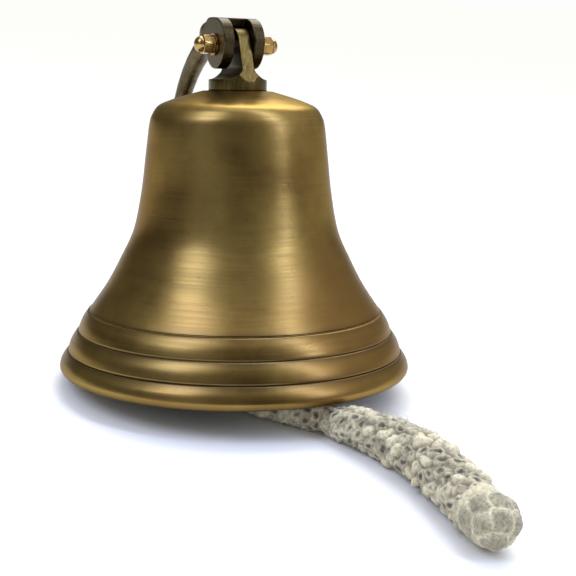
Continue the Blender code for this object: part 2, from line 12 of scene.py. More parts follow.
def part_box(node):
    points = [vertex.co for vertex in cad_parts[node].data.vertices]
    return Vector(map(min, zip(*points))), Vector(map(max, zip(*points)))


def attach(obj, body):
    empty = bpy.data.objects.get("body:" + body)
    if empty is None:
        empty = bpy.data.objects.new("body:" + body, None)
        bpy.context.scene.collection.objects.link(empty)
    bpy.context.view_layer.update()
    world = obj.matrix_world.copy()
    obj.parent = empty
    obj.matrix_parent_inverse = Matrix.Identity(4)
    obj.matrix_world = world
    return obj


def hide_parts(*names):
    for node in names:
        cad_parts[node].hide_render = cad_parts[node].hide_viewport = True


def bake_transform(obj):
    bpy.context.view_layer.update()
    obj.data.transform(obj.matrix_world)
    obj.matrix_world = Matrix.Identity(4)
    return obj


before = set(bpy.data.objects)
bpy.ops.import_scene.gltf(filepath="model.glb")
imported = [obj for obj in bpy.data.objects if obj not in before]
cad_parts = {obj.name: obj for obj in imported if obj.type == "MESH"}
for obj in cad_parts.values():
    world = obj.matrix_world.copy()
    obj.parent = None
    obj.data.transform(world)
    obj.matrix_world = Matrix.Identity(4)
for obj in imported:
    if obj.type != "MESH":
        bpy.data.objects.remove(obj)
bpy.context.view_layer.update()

# The bell's own axis: where the mouth's centre is, and how far the bell leans back
LEAN = math.radians(5.25)
LIP_RADIUS = 0.0976
MOUTH = Vector((0, -0.0154, LIP_RADIUS * math.sin(LEAN)))
STANCE = Matrix.Translation(MOUTH) @ Matrix.Rotation(-LEAN, 4, "X")
HINGE = STANCE @ Vector((0, 0, 0.1883))
CLAPPER_PIN = STANCE @ Vector((0, 0, 0.1300))
TAIL_EYE = CLAPPER_PIN - Vector((0, 0, 0.1222))

# Bell outline as (radius, height), the same as the frame's
LIP = [(LIP_RADIUS, 0.0), (0.1005, 0.0010), (0.1022, 0.0031), (0.1024, 0.0054),
       (0.1011, 0.0090), (0.0982, 0.0130)]
WAIST = [(0.0849, 0.0370), (0.0751, 0.0514), (0.0670, 0.0666), (0.0595, 0.0832),
         (0.0551, 0.1050), (0.0525, 0.1265), (0.0505, 0.1430), (0.0487, 0.1490),
         (0.0450, 0.1540), (0.0380, 0.1572), (0.0300, 0.1598), (0.0200, 0.1626)]
INNER_WAIST = [(0.0920, 0.0000), (0.0885, 0.0100), (0.0838, 0.0230), (0.0780, 0.0360),
               (0.0692, 0.0510), (0.0615, 0.0666), (0.0545, 0.0832), (0.0503, 0.1050),
               (0.0478, 0.1265), (0.0460, 0.1390), (0.0440, 0.1450), (0.0390, 0.1500),
               (0.0280, 0.1555)]
STUD_HOLE = 0.0053
CROWN_TOP = 0.1628
CROWN_SEAT = 0.0003
CROWN_UNDER = 0.1570
BELL_SIDES = 256

# The two bands between the grooves, each as its lower and upper end
LOWER_BAND = ((0.0976, 0.0139), (0.0923, 0.0244))
UPPER_BAND = ((0.0917, 0.0252), (0.0861, 0.0360))
BAND_STEPS = 14

# Patina in the three grooves, widened by painted shade over the bands beside them: height of the groove's
# middle, and how dark it is
GROOVE_PATINA_AND_SHADE = ((0.01345, 0.85), (0.0248, 0.85), (0.0365, 0.55))
# The darkening reaches further below each groove: painted shade over the top of the band under it
GROOVE_DARK_BELOW = 0.0021
GROOVE_DARK_ABOVE = 0.0013

# Lanyard route as (x, y, radius): it lies on the floor, so its radius is its height
LANYARD_ROUTE = [
    (-0.0030, -0.0260, 0.0098), (-0.0110, -0.0460, 0.0106), (-0.0100, -0.0690, 0.0104),
    (0.0010, -0.0890, 0.0090), (0.0125, -0.1080, 0.0083), (0.0200, -0.1290, 0.0106),
    (0.0262, -0.1540, 0.0123), (0.0277, -0.1820, 0.0130), (0.0238, -0.2110, 0.0129),
    (0.0187, -0.2385, 0.0124),
]
LUMP_PITCH = 0.0068
LUMPS_ROUND = 9
KNOT_LENGTH = 0.0250
KNOT_RADIUS = 0.0130
FLOOR_GAP = 0.0002

# Directions of the knot's smooth bights, from its middle
KNOT_LOBES = [(-0.88, -0.49, 0.27), (-0.23, -0.80, 0.48), (0.52, -0.74, 0.30), (0.78, -0.15, 0.55),
              (0.18, -0.18, 0.96), (-0.60, 0.10, 0.78), (-0.92, 0.32, 0.10), (-0.50, -0.82, -0.30)]

# Fork and arm: the fork's middle in X, and the circle that the arm's bend follows
FORK_MIDDLE = -0.0020
ARM_BEND_RADIUS = 0.0890
ARM_BEND_Z = 0.0077 - ARM_BEND_RADIUS
NECK_WIDE, NECK_HIGH = 0.0125, 0.0074
ARM_HALF = 0.0056

CAMERA_PLACE = Vector((-0.2779, -0.6193, 0.2286))
CAMERA_LOOK = Vector((0.4428, 0.8621, -0.2465))
CAMERA_ROLL = math.radians(3.4)
CAMERA_LENS = 73.1

# Soft lights as name, place, aim, size, power and colour
COOL = (0.92, 0.99, 1.24)
LIGHTS = [
    ("overhead", (0.0, 0.2, 1.6), (0, 0, 0.05), (1.0, 1.0), 4.0, COOL),
    ("key", (-0.92, -0.22, 1.15), (0, 0, 0.08), (0.55, 0.80), 6.3, (0.89, 1.0, 1.46)),
    ("low_left", (-1.05, -0.62, 0.36), (0, 0, 0.10), (1.00, 0.80), 0.55, COOL),
    ("strip", (0.50, -0.73, 0.99), (0, 0, 0.12), (0.10, 1.50), 6.4, (0.89, 1.0, 1.42)),
]
SUN_WAY = Vector((-0.50, -0.62, -0.95))
SURROUNDINGS = (0.98, 0.98, 0.98)
SKY_LIGHT = (0.765, 0.775, 0.738)
FLOOR_SIZE = 60.0
FLOOR_WHITE = (0.76, 0.76, 0.76)


# ---------------------------------------------------------------- camera, floor and light

def make_camera():
    """Camera at the front left, a little above the bell."""
    data = bpy.data.cameras.new("camera")
    data.lens = CAMERA_LENS
    data.clip_start = 0.01
    camera = bpy.data.objects.new("camera", data)
    turn = CAMERA_LOOK.to_track_quat("-Z", "Y").to_matrix().to_4x4()
    roll = Matrix.Rotation(CAMERA_ROLL, 4, "Z")
    camera.matrix_world = Matrix.Translation(CAMERA_PLACE) @ turn @ roll
    bpy.context.scene.collection.objects.link(camera)
    bpy.context.scene.camera = camera


def make_light(name, place, aim, size, power, colour):
    """Soft rectangular light that points at a spot."""
    data = bpy.data.lights.new(name, "AREA")
    data.shape = "RECTANGLE"
    data.size, data.size_y = size
    data.energy = power
    data.color = colour
    light = bpy.data.objects.new(name, data)
    light.location = place
    light.rotation_euler = (Vector(aim) - Vector(place)).to_track_quat("-Z", "Y").to_euler()
    bpy.context.scene.collection.objects.link(light)


def make_sun():
    """Very soft light from high up behind the bell, so that shadows fall to the front left."""
    data = bpy.data.lights.new("soft_sun", "SUN")
    data.energy = 2.15
    data.color = (1.0, 1.0, 0.96)
    data.angle = math.radians(46)
    sun = bpy.data.objects.new("soft_sun", data)
    sun.rotation_euler = SUN_WAY.to_track_quat("-Z", "Y").to_euler()
    bpy.context.scene.collection.objects.link(sun)


def make_world():
    """White surroundings; what the metal mirrors is dimmer in front, where the room is."""
    world = bpy.data.worlds.new("studio")
    world.use_nodes = True
    tree = world.node_tree
    place = add_node(tree, "ShaderNodeTexCoord")
    parts = add_node(tree, "ShaderNodeSeparateXYZ", {"Vector": place.outputs["Generated"]})
    across = math_node(tree, "MULTIPLY", parts.outputs["X"], 0.95)
    behind = math_node(tree, "ADD", across, math_node(tree, "MULTIPLY", parts.outputs["Y"], 0.25))
    depth = remap(tree, behind, -0.4, 1.0, 0.09, 0.50)
    raised = remap(tree, parts.outputs["Z"], 0.15, 0.9, 0.0, 0.22)
    mirrored = math_node(tree, "ADD", depth, raised)
    path = add_node(tree, "ShaderNodeLightPath")
    tone = mix_colour(tree, path.outputs["Is Diffuse Ray"], mirrored, SKY_LIGHT)
    tone = mix_colour(tree, path.outputs["Is Camera Ray"], tone, SURROUNDINGS)
    tree.links.new(tone, tree.nodes["Background"].inputs["Color"])
    world.cycles.sampling_method = "NONE"
    bpy.context.scene.world = world


def make_floor():
    """Large plain white floor."""
    shape = bmesh.new()
    bmesh.ops.create_grid(shape, x_segments=1, y_segments=1, size=FLOOR_SIZE)
    floor = place_mesh("floor", shape)
    material, tree = new_material("floor_white", FLOOR_WHITE, 0.9, 0.0)
    tree.nodes["Principled BSDF"].inputs["Specular IOR Level"].default_value = 0.0
    floor.data.materials.append(material)


# ---------------------------------------------------------------- mesh helpers

def place_mesh(name, shape, matrix=None):
    """Turn a bmesh into a smooth object, whose own axes may be turned."""
    bmesh.ops.recalc_face_normals(shape, faces=shape.faces)
    mesh = bpy.data.meshes.new(name)
    shape.to_mesh(mesh)
    shape.free()
    mesh.shade_smooth()
    thing = bpy.data.objects.new(name, mesh)
    if matrix is not None:
        thing.matrix_world = matrix
    bpy.context.scene.collection.objects.link(thing)
    return thing


def through(points, steps):
    """Smooth curve through points of any dimension, with some steps for each stretch."""
    ends = [points[0], *points, points[-1]]
    curve = []
    for i in range(len(points) - 1):
        p0, p1, p2, p3 = (Vector(p) for p in ends[i:i + 4])
        for k in range(steps):
            t = k / steps
            pull = (p2 - p0) * t + (2 * p0 - 5 * p1 + 4 * p2 - p3) * t * t
            curve.append(p1 + 0.5 * (pull + (3 * p1 - p0 - 3 * p2 + p3) * t ** 3))
    curve.append(Vector(points[-1]))
    return curve


def turned(outline, sides):
    """Turn a closed (r, z) outline about Z; "along" holds the distance along the outline."""
    shape = bmesh.new()
    layer = shape.verts.layers.float.new("along")
    run = 0.0
    rings = []
    for i, (radius, height) in enumerate(outline):
        if i:
            run += math.dist(outline[i], outline[i - 1])
        ring = [shape.verts.new((radius * math.cos(math.tau * k / sides),
                                 radius * math.sin(math.tau * k / sides), height))
                for k in range(sides)]
        for vert in ring:
            vert[layer] = run
        rings.append(ring)
    for near, far in zip(rings, [*rings[1:], rings[0]]):
        for k in range(sides):
            after = (k + 1) % sides
            shape.faces.new((near[k], near[after], far[after], far[k]))
    return shape


# ---------------------------------------------------------------- material helpers

def new_material(name, colour, roughness, metallic):
    """Principled material and its node tree."""
    material = bpy.data.materials.new(name)
    material.use_nodes = True
    tree = material.node_tree
    shader = tree.nodes["Principled BSDF"]
    shader.inputs["Base Color"].default_value = (*colour, 1)
    shader.inputs["Roughness"].default_value = roughness
    shader.inputs["Metallic"].default_value = metallic
    return material, tree


def add_node(tree, kind, links=None, **values):
    """Add a node, set its properties, and link its inputs."""
    node = tree.nodes.new(kind)
    for key, value in values.items():
        setattr(node, key, value)
    for key, socket in (links or {}).items():
        tree.links.new(socket, node.inputs[key])
    return node


def coordinates(tree, scale):
    """Object coordinates, scaled."""
    place = add_node(tree, "ShaderNodeTexCoord")
    stretch = add_node(tree, "ShaderNodeMapping", {"Vector": place.outputs["Object"]})
    stretch.inputs["Scale"].default_value = scale
    return stretch.outputs["Vector"]


def add_noise(tree, vector, scale, detail, roughness):
    """Noise value at a scale per metre."""
    node = add_node(tree, "ShaderNodeTexNoise", {"Vector": vector})
    node.inputs["Scale"].default_value = scale
    node.inputs["Detail"].default_value = detail
    node.inputs["Roughness"].default_value = roughness
    return node.outputs["Fac"]


def remap(tree, value, low, high, to_low, to_high):
    """Map a value's range to another one."""
    node = add_node(tree, "ShaderNodeMapRange", {"Value": value})
    for key, number in (("From Min", low), ("From Max", high), ("To Min", to_low), ("To Max", to_high)):
        node.inputs[key].default_value = number
    return node.outputs["Result"]


def math_node(tree, operation, first, second):
    """Arithmetic of two sockets or numbers."""
    node = tree.nodes.new("ShaderNodeMath")
    node.operation = operation
    for socket, value in zip(node.inputs, (first, second)):
        if isinstance(value, (int, float)):
            socket.default_value = value
        else:
            tree.links.new(value, socket)
    return node.outputs["Value"]


def mix_colour(tree, factor, first, second):
    """Mix of two colours, each given as numbers or a socket."""
    node = tree.nodes.new("ShaderNodeMix")
    node.data_type = "RGBA"
    for key, value in (("Factor", factor), ("A", first), ("B", second)):
        socket = node.inputs[key] if key == "Factor" else next(
            s for s in node.inputs if s.name == key and s.type == "RGBA")
        if isinstance(value, (int, float)):
            socket.default_value = value
        elif isinstance(value, tuple):
            socket.default_value = (*value, 1)
        else:
            tree.links.new(value, socket)
    return next(s for s in node.outputs if s.type == "RGBA")


def add_bump(tree, height, strength, distance):
    """Bump into the shader's normal."""
    node = add_node(tree, "ShaderNodeBump", {"Height": height})
    node.inputs["Strength"].default_value = strength
    node.inputs["Distance"].default_value = distance
    tree.links.new(node.outputs["Normal"], tree.nodes["Principled BSDF"].inputs["Normal"])


def feed(tree, **sockets):
    """Link sockets into the Principled shader by input name."""
    shader = tree.nodes["Principled BSDF"]
    for key, socket in sockets.items():
        tree.links.new(socket, shader.inputs[key.replace("_", " ")])


# ---------------------------------------------------------------- materials

def antique_brass():
    """Brown antique brass, turned on a lathe: fine rings and cloudy patina."""
    material, tree = new_material("antique_brass", (0.28, 0.19, 0.07), 0.33, 1.0)
    along = add_node(tree, "ShaderNodeAttribute", attribute_name="along").outputs["Fac"]
    place = add_node(tree, "ShaderNodeTexCoord").outputs["Object"]
    parts = add_node(tree, "ShaderNodeSeparateXYZ", {"Vector": place})
    rings = add_node(tree, "ShaderNodeCombineXYZ", {
        "X": math_node(tree, "MULTIPLY", parts.outputs["X"], 6.0),
        "Y": math_node(tree, "MULTIPLY", parts.outputs["Y"], 6.0),
        "Z": math_node(tree, "MULTIPLY", along, 900.0)}).outputs["Vector"]
    fine = add_noise(tree, rings, 1.0, 3.0, 0.6)
    broad = add_node(tree, "ShaderNodeCombineXYZ", {
        "X": math_node(tree, "MULTIPLY", parts.outputs["X"], 9.0),
        "Y": math_node(tree, "MULTIPLY", parts.outputs["Y"], 9.0),
        "Z": math_node(tree, "MULTIPLY", along, 70.0)}).outputs["Vector"]
    bands = add_noise(tree, broad, 1.0, 3.0, 0.5)
    cloud = add_noise(tree, place, 22.0, 5.0, 0.6)
    speck = add_noise(tree, place, 420.0, 2.0, 0.6)

    tone = mix_colour(tree, remap(tree, cloud, 0.35, 0.68, 0, 1),
                      (0.195, 0.116, 0.021), (0.350, 0.234, 0.056))
    tone = mix_colour(tree, remap(tree, bands, 0.42, 0.62, 0, 0.50), tone, (0.325, 0.214, 0.052))
    tone = mix_colour(tree, remap(tree, fine, 0.30, 0.70, 0.0, 0.26), tone, (0.135, 0.080, 0.018))
    tone = mix_colour(tree, remap(tree, speck, 0.66, 0.74, 0.0, 0.35), tone, (0.09, 0.055, 0.018))
    red = add_noise(tree, place, 9.0, 2.0, 0.5)
    tone = mix_colour(tree, remap(tree, red, 0.42, 0.62, 0.0, 0.70), tone, (0.245, 0.128, 0.028))
    # Painted shade inside the bell, and dark groove patina with painted shade round it, darken the tone
    # here.
    shade_and_patina = add_node(tree, "ShaderNodeAttribute", attribute_name="shade_and_patina").outputs["Fac"]
    shade_share = math_node(tree, "MULTIPLY", shade_and_patina, remap(tree, cloud, 0.3, 0.7, 1.0, 0.72))
    tone = mix_colour(tree, remap(tree, shade_share, 0.0, 1.0, 0.0, 0.86), tone, (0.045, 0.034, 0.018))
    rough = math_node(tree, "ADD", remap(tree, cloud, 0.3, 0.7, 0.28, 0.36),
                      remap(tree, fine, 0.3, 0.7, -0.04, 0.05))
    feed(tree, Base_Color=tone, Roughness=rough)
    shader = tree.nodes["Principled BSDF"]
    shader.inputs["Coat Weight"].default_value = 0.34
    shader.inputs["Coat Roughness"].default_value = 0.30
    shader.inputs["Specular Tint"].default_value = (0.50, 0.42, 0.30, 1)
    height = math_node(tree, "ADD", fine, math_node(tree, "MULTIPLY", cloud, 0.5))
    add_bump(tree, height, 0.10, 0.0004)
    shader.inputs["Anisotropic"].default_value = 0.35
    tangent = add_node(tree, "ShaderNodeTangent", direction_type="RADIAL", axis="Z")
    feed(tree, Tangent=tangent.outputs["Tangent"])
    return material


def cast_metal(name, dark, light, edge, roughness, scale=60.0, edge_start=0.53):
    """Cast, hand-finished metal: mottled tone, faint scratches and a painted highlight along sharp edges.
    """
    material, tree = new_material(name, light, roughness, 1.0)
    place = add_node(tree, "ShaderNodeTexCoord").outputs["Object"]
    cloud = add_noise(tree, place, scale, 5.0, 0.6)
    grain = add_noise(tree, place, scale * 14, 3.0, 0.6)
    stretched = coordinates(tree, (900, 900, 90))
    scratch = add_noise(tree, stretched, 1.0, 2.0, 0.5)
    tone = mix_colour(tree, remap(tree, cloud, 0.34, 0.66, 0, 1), dark, light)
    tone = mix_colour(tree, remap(tree, scratch, 0.45, 0.75, 0, 0.14), tone, edge)
    # Sharp edges get a lighter colour: a painted highlight.
    shape = add_node(tree, "ShaderNodeNewGeometry").outputs["Pointiness"]
    painted_highlight = remap(tree, shape, edge_start, edge_start + 0.09, 0, 0.40)
    # Painted shade from the per-vertex share: inside the fork, on the cheeks' rims and on the hanger's
    # flanks.
    shade_and_patina = add_node(tree, "ShaderNodeAttribute", attribute_name="shade_and_patina").outputs["Fac"]
    shade_colour = tuple(0.22 * value for value in dark)
    shade_mix = math_node(tree, "MULTIPLY", shade_and_patina, remap(tree, grain, 0.3, 0.7, 0.86, 1.0))
    tone = mix_colour(tree, shade_mix, tone, shade_colour)
    tone = mix_colour(tree, painted_highlight, tone, edge)
    rough = math_node(tree, "ADD", remap(tree, cloud, 0.3, 0.7, roughness - 0.05, roughness + 0.06),
                      remap(tree, grain, 0.3, 0.7, -0.04, 0.05))
    feed(tree, Base_Color=tone, Roughness=rough)
    add_bump(tree, math_node(tree, "ADD", cloud, math_node(tree, "MULTIPLY", grain, 0.4)), 0.25, 0.0004)
    return material


def polished_metal(name, colour, deep, roughness):
    """Bright turned metal with light handling marks."""
    material, tree = new_material(name, colour, roughness, 1.0)
    place = add_node(tree, "ShaderNodeTexCoord").outputs["Object"]
    smudge = add_noise(tree, place, 140.0, 4.0, 0.6)
    marks = add_noise(tree, coordinates(tree, (2600, 300, 300)), 1.0, 2.0, 0.5)
    tone = mix_colour(tree, remap(tree, smudge, 0.42, 0.75, 0, 0.8), colour, deep)
    rough = math_node(tree, "ADD", remap(tree, smudge, 0.3, 0.7, roughness - 0.04, roughness + 0.08),
                      remap(tree, marks, 0.3, 0.7, -0.03, 0.04))
    feed(tree, Base_Color=tone, Roughness=rough)
    add_bump(tree, marks, 0.08, 0.0002)
    return material


def cotton(name):
    """Off-white cotton, greige with use: painted shade in creases and hollows, fine fibre roughness."""
    material, tree = new_material(name, (0.62, 0.56, 0.46), 0.95, 0.0)
    depth = add_node(tree, "ShaderNodeAttribute", attribute_name="depth").outputs["Fac"]
    pit = add_node(tree, "ShaderNodeAttribute", attribute_name="pit").outputs["Fac"]
    tint = add_node(tree, "ShaderNodeAttribute", attribute_name="tint").outputs["Fac"]
    place = add_node(tree, "ShaderNodeTexCoord").outputs["Object"]
    cloud = add_noise(tree, place, 120.0, 4.0, 0.6)
    mottle = add_noise(tree, place, 620.0, 3.0, 0.65)
    fuzz = add_noise(tree, place, 2400.0, 3.0, 0.7)
    tone = mix_colour(tree, remap(tree, cloud, 0.35, 0.65, 0, 1),
                      (0.495, 0.440, 0.295), (0.650, 0.590, 0.395))
    tone = mix_colour(tree, remap(tree, tint, 0.0, 1.0, 0.55, 0.0), tone, (0.74, 0.68, 0.49))
    tone = mix_colour(tree, remap(tree, mottle, 0.46, 0.66, 0, 0.60), tone, (0.245, 0.212, 0.142))
    # Painted shade: darker where the surface lies deep.
    tone = mix_colour(tree, remap(tree, depth, -1.4, 0.2, 0.70, 0.0), tone, (0.130, 0.108, 0.072))
    # Painted shade in the strand ends' pits and in the creases between lumps.
    shade_share = math_node(tree, "MULTIPLY", pit, remap(tree, mottle, 0.30, 0.60, 0.75, 1.0))
    tone = mix_colour(tree, remap(tree, shade_share, 0.10, 0.70, 0, 0.94), tone, (0.058, 0.046, 0.034))
    tone = mix_colour(tree, remap(tree, fuzz, 0.46, 0.68, 0, 0.30), tone, (0.31, 0.28, 0.20))
    feed(tree, Base_Color=tone)
    shader = tree.nodes["Principled BSDF"]
    shader.inputs["Sheen Weight"].default_value = 0.25
    shader.inputs["Sheen Roughness"].default_value = 0.5
    height = math_node(tree, "ADD", math_node(tree, "MULTIPLY", mottle, 0.8), fuzz)
    add_bump(tree, height, 0.45, 0.0005)
    return material


# ---------------------------------------------------------------- bell

def band(start, end, bulge, steps):
    """A slightly convex band of the bell between two grooves."""
    (r0, z0), (r1, z1) = start, end
    points = []
    for i in range(steps + 1):
        t = i / steps
        swell = bulge * math.sin(math.pi * t)
        points.append((r0 + (r1 - r0) * t + swell, z0 + (z1 - z0) * t + 0.5 * swell))
    return points


def groove(end, start, depth):
    """Narrow rounded groove between two stretches of the outline."""
    middle = ((end[0] + start[0]) / 2 - depth, (end[1] + start[1]) / 2 - 0.3 * depth)
    return [tuple(p) for p in through([end, middle, start], 4)][1:-1]


def groove_patina_and_shade(height):
    """Share of dark patina in the three grooves, and of painted shade just round them."""
    shade = 0.0
    for middle, strength in GROOVE_PATINA_AND_SHADE:
        reach = GROOVE_DARK_BELOW if height < middle else GROOVE_DARK_ABOVE
        shade = max(shade, strength * math.exp(-((height - middle) / reach) ** 2))
    return shade


def bell_outline():
    """Closed outline of the bell's wall: up the outside, then down the inside."""
    lip = [tuple(p) for p in through(LIP, 7)]
    lower_band = band(*LOWER_BAND, 0.0007, BAND_STEPS)
    upper_band = band(*UPPER_BAND, 0.0006, BAND_STEPS)
    waist = [tuple(p) for p in through(WAIST, 9)]
    inside = [tuple(p) for p in reversed(through(INNER_WAIST, 5))]
    return [*lip, *groove(lip[-1], lower_band[0], 0.0006), *lower_band,
            *groove(lower_band[-1], upper_band[0], 0.0005), *upper_band,
            *groove(upper_band[-1], waist[0], 0.0007), *waist,
            (0.0170, CROWN_TOP), (0.0164, CROWN_TOP + CROWN_SEAT), (STUD_HOLE, CROWN_TOP + CROWN_SEAT),
            (STUD_HOLE, CROWN_UNDER), *inside]


def make_bell():
    """Fine turned bell over the frame's bell, with painted shade inside, and dark patina with painted
    shade round it in its grooves.
    """
    outline = bell_outline()
    bell = place_mesh("bell_surface", turned(outline, BELL_SIDES), STANCE)
    top = max(range(len(outline)), key=lambda i: outline[i][1])
    shade_and_patina = []
    for i, (_, height) in enumerate(outline):
        inside = i > top + 1
        # Inside the bell the full share is painted shade; outside it is groove patina with painted shade
        # round it.
        shade_and_patina += [1.0 if inside else groove_patina_and_shade(height)] * BELL_SIDES
    layer = bell.data.attributes.new("shade_and_patina", "FLOAT", "POINT")
    layer.data.foreach_set("value", shade_and_patina)
    bell.data.set_sharp_from_angle(angle=math.radians(50))
    bell.data.materials.append(antique_brass())
    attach(bell, "bell")
    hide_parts("bell_shell")


# ---------------------------------------------------------------- castings

def baked(piece, *modifiers):
    """Apply modifiers, each given as a type and its settings."""
    for kind, settings in modifiers:
        modifier = piece.modifiers.new(kind.lower(), kind)
        for key, value in settings.items():
            setattr(modifier, key, value)
    done = bpy.data.meshes.new_from_object(piece.evaluated_get(bpy.context.evaluated_depsgraph_get()))
    piece.modifiers.clear()
    piece.data = done


def soften(node, name, voxel, passes, worn_by, body, material, reshape=None):
    """Copy a cast node, remesh it finely and round its edges, more where worn_by says so."""
    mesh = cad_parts[node].data.copy()
    mesh.materials.clear()
    piece = bpy.data.objects.new(name, mesh)
    bpy.context.scene.collection.objects.link(piece)
    baked(piece, ("REMESH", {"mode": "VOXEL", "voxel_size": voxel}),
          ("SMOOTH", {"factor": 0.5, "iterations": passes}))
    if reshape:
        reshape(piece)
    group = piece.vertex_groups.new(name="round")
    for vert in piece.data.vertices:
        share = worn_by(vert.co)
        if share > 0:
            group.add([vert.index], share, "REPLACE")
    baked(piece, ("SMOOTH", {"factor": 0.5, "iterations": 90, "vertex_group": "round"}))
    piece.vertex_groups.clear()
    piece.data.shade_smooth()
    piece.data.materials.clear()
    piece.data.materials.append(material)
    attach(piece, body)
    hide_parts(node)
    return piece


def ease(value, low, high):
    """Smooth step from 0 at low to 1 at high."""
    t = min(max((value - low) / (high - low), 0), 1)
    return t * t * (3 - 2 * t)


def fork_root(place):
    """Where the cheeks run into the arm, they are rounded off."""
    back = place.y - HINGE.y
    return 0.4 * ease(back, 0.0080, 0.0140) * (1 - ease(back, 0.0440, 0.0520))


def fair_fork(piece):
    """Let the cheeks run back into the arm in one long rounded neck."""
    for vert in piece.data.vertices:
        along, over = vert.co.y - HINGE.y, vert.co.z - HINGE.z
        if not 0.0100 < along < 0.0500 or over < -0.0400:
            continue
        beside = vert.co.x - FORK_MIDDLE
        from_centre = math.hypot(along, over - ARM_BEND_Z)
        raised = from_centre - ARM_BEND_RADIUS
        neck = ease(along, 0.0200, 0.0430)
        wide = NECK_WIDE + (ARM_HALF - NECK_WIDE) * neck
        high = NECK_HIGH + (ARM_HALF - NECK_HIGH) * neck
        square = 5.0 - 1.6 * ease(along, 0.0120, 0.0200) - 1.4 * neck
        size = (abs(beside) / wide) ** square + (abs(raised) / high) ** square
        if size < 0.05:
            continue
        pull = size ** (-1 / square)
        share = ease(along, 0.0110, 0.0180) * (1 - ease(along, 0.0440, 0.0500))
        pull = 1 + (pull - 1) * share
        stretch = (ARM_BEND_RADIUS + raised * pull) / from_centre
        vert.co.x = FORK_MIDDLE + beside * pull
        vert.co.y = HINGE.y + along * stretch
        vert.co.z = HINGE.z + ARM_BEND_Z + (over - ARM_BEND_Z) * stretch


def tongue_root(place):
    """Where the tongue's front and back run into the foot."""
    below_top = min(max((0.1815 - place.z) / 0.0030, 0), 1)
    above_foot = min(max((place.z - 0.1730) / 0.0015, 0), 1)
    return 0.22 * below_top * above_foot


def add_painted_shade(piece, share_of):
    """Painted shade on a casting, as a share per vertex."""
    mesh = piece.data
    layer = mesh.attributes.new("shade_and_patina", "FLOAT", "POINT")
    turn = piece.matrix_world.to_3x3()
    values = [share_of(piece.matrix_world @ vert.co, turn @ vert.normal) for vert in mesh.vertices]
    layer.data.foreach_set("value", values)


def fork_shade(place, normal):
    """Painted shade inside the fork, a half-strength painted dark reflection on the cheeks' rims, and
    none on the faces and the arm.
    """
    from_pin = math.hypot(place.y - HINGE.y, place.z - HINGE.z)
    inside = abs(place.x - FORK_MIDDLE) < 0.00665 and from_pin < 0.0142
    if inside:
        return 0.95
    near = min(max((0.0175 - from_pin) / 0.0030, 0), 1)
    return 0.68 * near * min(max((0.75 - abs(normal.x)) / 0.35, 0), 1)


def hanger_flank_shade(place, normal):
    """Painted shade in the hollows of the flanks, on the faces that look sideways."""
    hollow = min(max((0.0085 - abs(place.z - 0.1800)) / 0.0050, 0), 1)
    return 0.50 * hollow * min(max((abs(normal.x) - 0.35) / 0.3, 0), 1)


def make_castings():
    """Hanger on the crown, and the bracket with its arm."""
    # In both castings below, the third colour serves the scratches and the painted highlight along sharp
    # edges.
    hanger = cast_metal("hanger_brass", (0.060, 0.038, 0.010), (0.115, 0.079, 0.019),
                        (0.46, 0.36, 0.20), 0.33, 80.0, 0.55)
    piece = soften("crown_hanger", "hanger_casting", 0.00026, 2, tongue_root,
                   "bell", hanger)
    add_painted_shade(piece, hanger_flank_shade)
    bronze = cast_metal("bracket_bronze", (0.054, 0.038, 0.015), (0.106, 0.078, 0.032),
                        (0.34, 0.27, 0.16), 0.36, 60.0, 0.55)
    piece = soften("bracket_arm", "bracket_casting", 0.00034, 3, fork_root,
                   "bracket", bronze, fair_fork)
    add_painted_shade(piece, fork_shade)
    return bronze


# ---------------------------------------------------------------- nuts

def acorn_nut(name, node, side, material):
    """Domed hex nut with chamfered corners and a neck between hex and dome."""
    low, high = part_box(node)
    face = high[0] if side < 0 else low[0]
    flats, hexagon, dome = 0.0100, 0.0062, 0.0044
    sides, stations = 72, []
    for x, reach in ((0.0, 0.92), (0.0004, 1.0), (0.0055, 1.0), (0.0061, 0.93), (0.0064, 0.80)):
        stations.append((x, reach, True))
    for x, reach in ((0.0065, 0.0042), (0.0067, 0.0041)):
        stations.append((x, reach, False))
    for i in range(13):
        turn = math.radians(90 * i / 12)
        station = 0.0068 + (hexagon + dome - 0.0068) * math.sin(turn)
        stations.append((station, 0.00455 * math.cos(turn), False))
    shape = bmesh.new()
    rings = []
    for x, reach, is_hex in stations:
        ring = []
        for k in range(sides):
            angle = math.tau * k / sides
            if is_hex:
                corner = abs((math.degrees(angle) % 60) - 30)
                flat = flats / 2 / math.cos(math.radians(30 - corner))
                radius = min(flat, reach * flats / math.sqrt(3))
            else:
                radius = max(reach, 1e-5)
            ring.append(shape.verts.new((side * x, radius * math.cos(angle), radius * math.sin(angle))))
        rings.append(ring)
    for near, far in zip(rings, rings[1:]):
        for k in range(sides):
            shape.faces.new((near[k], near[(k + 1) % sides], far[(k + 1) % sides], far[k]))
    shape.faces.new(rings[0])
    shape.faces.new(rings[-1])
    place = Matrix.Translation((face, HINGE.y, HINGE.z)) @ Matrix.Rotation(0.35, 4, "X")
    nut = place_mesh(name, shape, place)
    nut.data.set_sharp_from_angle(angle=math.radians(28))
    nut.data.materials.append(material)
    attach(nut, "bracket")
    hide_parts(node)


# ---------------------------------------------------------------- lanyard

